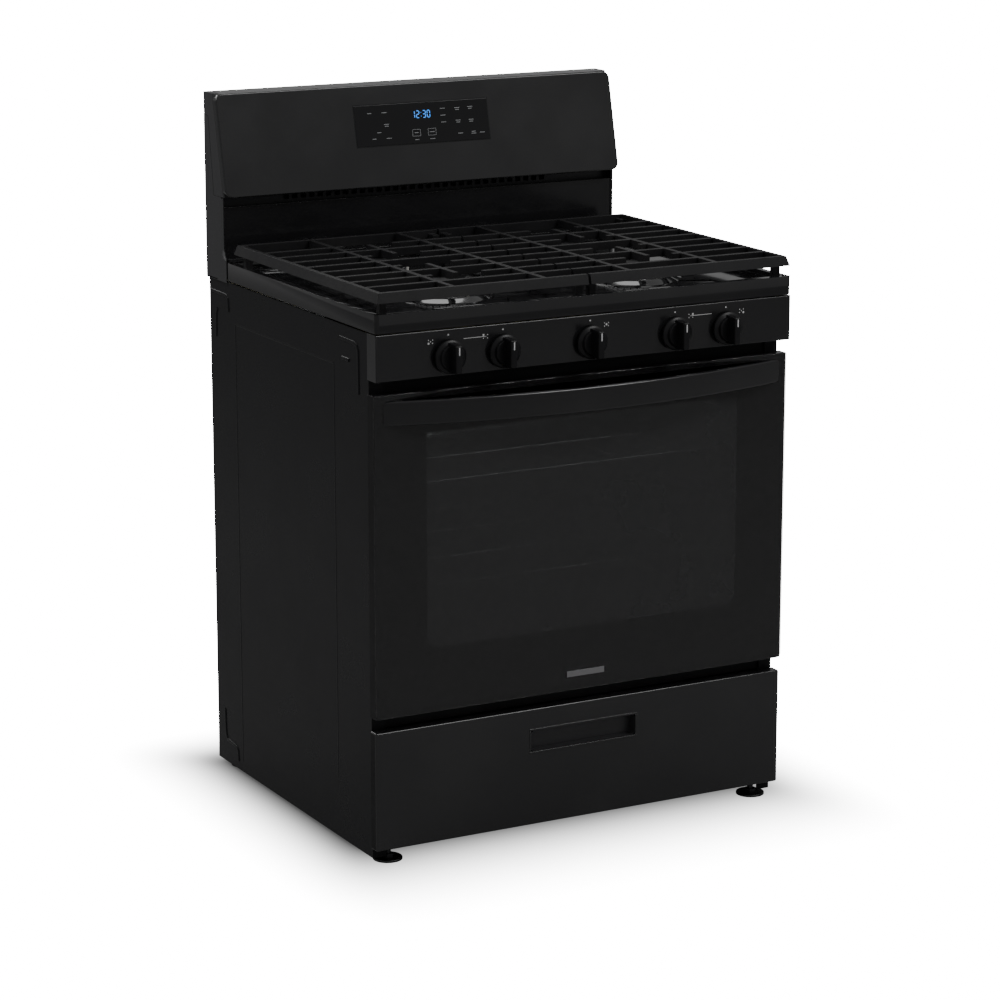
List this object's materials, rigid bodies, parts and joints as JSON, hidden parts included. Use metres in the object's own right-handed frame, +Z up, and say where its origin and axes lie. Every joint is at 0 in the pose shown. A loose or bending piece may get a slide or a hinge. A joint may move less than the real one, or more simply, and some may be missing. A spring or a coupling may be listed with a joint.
{
  "type": "freestanding gas range",
  "caption": "Black freestanding gas range with cast grates, front knobs, a drop-down oven door with a bowed handle, a broiler drawer and a backguard console.",
  "frame": {"origin": "on the floor, under the middle of the bounding box", "axes": "+X to the right seen from the front, +Y to the back, +Z up"},
  "size_m": [0.7588, 0.691, 1.1748],
  "materials": {
    "left_side_panel": "satin black paint",
    "right_side_panel": "satin black paint",
    "console_end_caps": "satin black paint",
    "backguard_cover": "satin black paint",
    "control_panel": "gloss black enamel",
    "drawer_front": "gloss black enamel",
    "splash_panel": "gloss black enamel",
    "console_panel": "gloss black enamel",
    "cooktop": "gloss black enamel",
    "door_frame": "gloss black enamel",
    "burner_caps": "gloss black enamel",
    "oven_liner": "speckled porcelain enamel",
    "oven_floor": "speckled porcelain enamel",
    "door_inner_panel": "speckled porcelain enamel",
    "broiler_pan": "speckled porcelain enamel",
    "front_frame": "satin black paint",
    "base_frame": "satin black paint",
    "vent_grille": "satin black paint",
    "rear_panel": "galvanised sheet",
    "oven_flue": "galvanised sheet",
    "drawer_tray": "galvanised sheet",
    "drawer_rails": "galvanised sheet",
    "hinge_arms": "galvanised sheet",
    "bake_burner": "bright steel",
    "gas_manifold": "bright steel",
    "gas_supply_pipe": "bright steel",
    "door_hinge_pins": "bright steel",
    "panel_screws": "bright steel",
    "rack_guides": "bright steel",
    "upper_oven_rack": "bright steel",
    "lower_oven_rack": "bright steel",
    "left_grate": "matte black enamel",
    "right_grate": "matte black enamel",
    "burner_heads": "cast",
    "burner_tubes": "cast",
    "pressure_regulator": "cast",
    "burner_valves": "machined",
    "door_handle": "gloss black",
    "door_outer_glass": "dark tinted",
    "control_glass": "dark tinted",
    "door_inner_glass": "clear",
    "oven_insulation": "glass-fibre blanket",
    "door_gasket": "woven fibreglass rope",
    "lead_grommet": "moulded",
    "control_board": "circuit board",
    "spark_electrodes": "white ceramic",
    "front_left_knob": "black with a white line",
    "front_left_valve_stem": "turned",
    "rear_left_knob": "black with a white line",
    "rear_left_valve_stem": "turned",
    "centre_knob": "black with a white line",
    "centre_valve_stem": "turned",
    "rear_right_knob": "black with a white line",
    "rear_right_valve_stem": "turned",
    "front_right_knob": "black with a white line",
    "front_right_valve_stem": "turned",
    "front_left_foot": "zinc plated",
    "rear_left_foot": "zinc plated",
    "front_right_foot": "zinc plated",
    "rear_right_foot": "zinc plated"
  },
  "bodies": {
    "range_body": {"left_side_panel": "left_side_panel", "right_side_panel": "right_side_panel", "console_end_caps": "console_end_caps", "backguard_cover": "backguard_cover", "control_panel": "control_panel", "splash_panel": "splash_panel", "console_panel": "console_panel", "cooktop": "cooktop", "burner_caps": "burner_caps", "oven_liner": "oven_liner", "oven_floor": "oven_floor", "front_frame": "front_frame", "base_frame": "base_frame", "vent_grille": "vent_grille", "rear_panel": "rear_panel", "oven_flue": "oven_flue", "drawer_rails": "drawer_rails", "hinge_arms": "hinge_arms", "bake_burner": "bake_burner", "gas_manifold": "gas_manifold", "gas_supply_pipe": "gas_supply_pipe", "panel_screws": "panel_screws", "rack_guides": "rack_guides", "burner_heads": "burner_heads", "burner_tubes": "burner_tubes", "pressure_regulator": "pressure_regulator", "burner_valves": "burner_valves", "control_glass": "control_glass", "oven_insulation": "oven_insulation", "lead_grommet": "lead_grommet", "control_board": "control_board", "spark_electrodes": "spark_electrodes"},
    "door_assembly": {"door_frame": "door_frame", "door_outer_glass": "door_outer_glass", "door_inner_panel": "door_inner_panel", "door_inner_glass": "door_inner_glass", "door_gasket": "door_gasket", "door_handle": "door_handle", "door_hinge_pins": "door_hinge_pins"},
    "drawer_assembly": {"drawer_front": "drawer_front", "drawer_tray": "drawer_tray", "broiler_pan": "broiler_pan"},
    "upper_rack": {"upper_oven_rack": "upper_oven_rack"},
    "lower_rack": {"lower_oven_rack": "lower_oven_rack"},
    "left_grate_body": {"left_grate": "left_grate"},
    "right_grate_body": {"right_grate": "right_grate"},
    "front_left_stem": {"front_left_valve_stem": "front_left_valve_stem"},
    "front_left_control": {"front_left_knob": "front_left_knob"},
    "rear_left_stem": {"rear_left_valve_stem": "rear_left_valve_stem"},
    "rear_left_control": {"rear_left_knob": "rear_left_knob"},
    "centre_stem": {"centre_valve_stem": "centre_valve_stem"},
    "centre_control": {"centre_knob": "centre_knob"},
    "rear_right_stem": {"rear_right_valve_stem": "rear_right_valve_stem"},
    "rear_right_control": {"rear_right_knob": "rear_right_knob"},
    "front_right_stem": {"front_right_valve_stem": "front_right_valve_stem"},
    "front_right_control": {"front_right_knob": "front_right_knob"},
    "front_left_leveller": {"front_left_foot": "front_left_foot"},
    "rear_left_leveller": {"rear_left_foot": "rear_left_foot"},
    "front_right_leveller": {"front_right_foot": "front_right_foot"},
    "rear_right_leveller": {"rear_right_foot": "rear_right_foot"}
  },
  "joints": [
    {"name": "door_hinge", "type": "hinge", "parent": "range_body", "child": "door_assembly", "pos_m": [0, -0.2725, 0.2485], "axis": [1, 0, 0], "range_deg": [0, 88], "stiffness_Nm_per_rad": 12, "springref_deg": -20.05},
    {"name": "drawer_slide", "type": "slide", "parent": "range_body", "child": "drawer_assembly", "axis": [0, -1, 0], "range_m": [0, 0.4]},
    {"name": "upper_rack_slide", "type": "slide", "parent": "range_body", "child": "upper_rack", "axis": [0, -1, 0], "range_m": [0, 0.008]},
    {"name": "lower_rack_slide", "type": "slide", "parent": "range_body", "child": "lower_rack", "axis": [0, -1, 0], "range_m": [0, 0.008]},
    {"name": "left_grate_lift", "type": "slide", "parent": "range_body", "child": "left_grate_body", "axis": [0, 0, 1], "range_m": [0, 0.12]},
    {"name": "right_grate_lift", "type": "slide", "parent": "range_body", "child": "right_grate_body", "axis": [0, 0, 1], "range_m": [0, 0.12]},
    {"name": "front_left_turn", "type": "hinge", "parent": "range_body", "child": "front_left_stem", "pos_m": [-0.254, -0.3, 0.821], "axis": [0, -1, 0], "range_deg": [0, 230]},
    {"name": "front_left_push", "type": "slide", "parent": "front_left_stem", "child": "front_left_control", "axis": [0, 1, 0], "range_m": [0, 0.003], "stiffness_N_per_m": 1500},
    {"name": "rear_left_turn", "type": "hinge", "parent": "range_body", "child": "rear_left_stem", "pos_m": [-0.1575, -0.3, 0.821], "axis": [0, -1, 0], "range_deg": [0, 230]},
    {"name": "rear_left_push", "type": "slide", "parent": "rear_left_stem", "child": "rear_left_control", "axis": [0, 1, 0], "range_m": [0, 0.003], "stiffness_N_per_m": 1500},
    {"name": "centre_turn", "type": "hinge", "parent": "range_body", "child": "centre_stem", "pos_m": [0, -0.3, 0.821], "axis": [0, -1, 0], "range_deg": [0, 230]},
    {"name": "centre_push", "type": "slide", "parent": "centre_stem", "child": "centre_control", "axis": [0, 1, 0], "range_m": [0, 0.003], "stiffness_N_per_m": 1500},
    {"name": "rear_right_turn", "type": "hinge", "parent": "range_body", "child": "rear_right_stem", "pos_m": [0.1575, -0.3, 0.821], "axis": [0, -1, 0], "range_deg": [0, 230]},
    {"name": "rear_right_push", "type": "slide", "parent": "rear_right_stem", "child": "rear_right_control", "axis": [0, 1, 0], "range_m": [0, 0.003], "stiffness_N_per_m": 1500},
    {"name": "front_right_turn", "type": "hinge", "parent": "range_body", "child": "front_right_stem", "pos_m": [0.254, -0.3, 0.821], "axis": [0, -1, 0], "range_deg": [0, 230]},
    {"name": "front_right_push", "type": "slide", "parent": "front_right_stem", "child": "front_right_control", "axis": [0, 1, 0], "range_m": [0, 0.003], "stiffness_N_per_m": 1500},
    {"name": "front_left_level", "type": "slide", "parent": "range_body", "child": "front_left_leveller", "axis": [0, 0, -1], "range_m": [0, 0.012]},
    {"name": "rear_left_level", "type": "slide", "parent": "range_body", "child": "rear_left_leveller", "axis": [0, 0, -1], "range_m": [0, 0.012]},
    {"name": "front_right_level", "type": "slide", "parent": "range_body", "child": "front_right_leveller", "axis": [0, 0, -1], "range_m": [0, 0.012]},
    {"name": "rear_right_level", "type": "slide", "parent": "range_body", "child": "rear_right_leveller", "axis": [0, 0, -1], "range_m": [0, 0.012]}
  ]
}
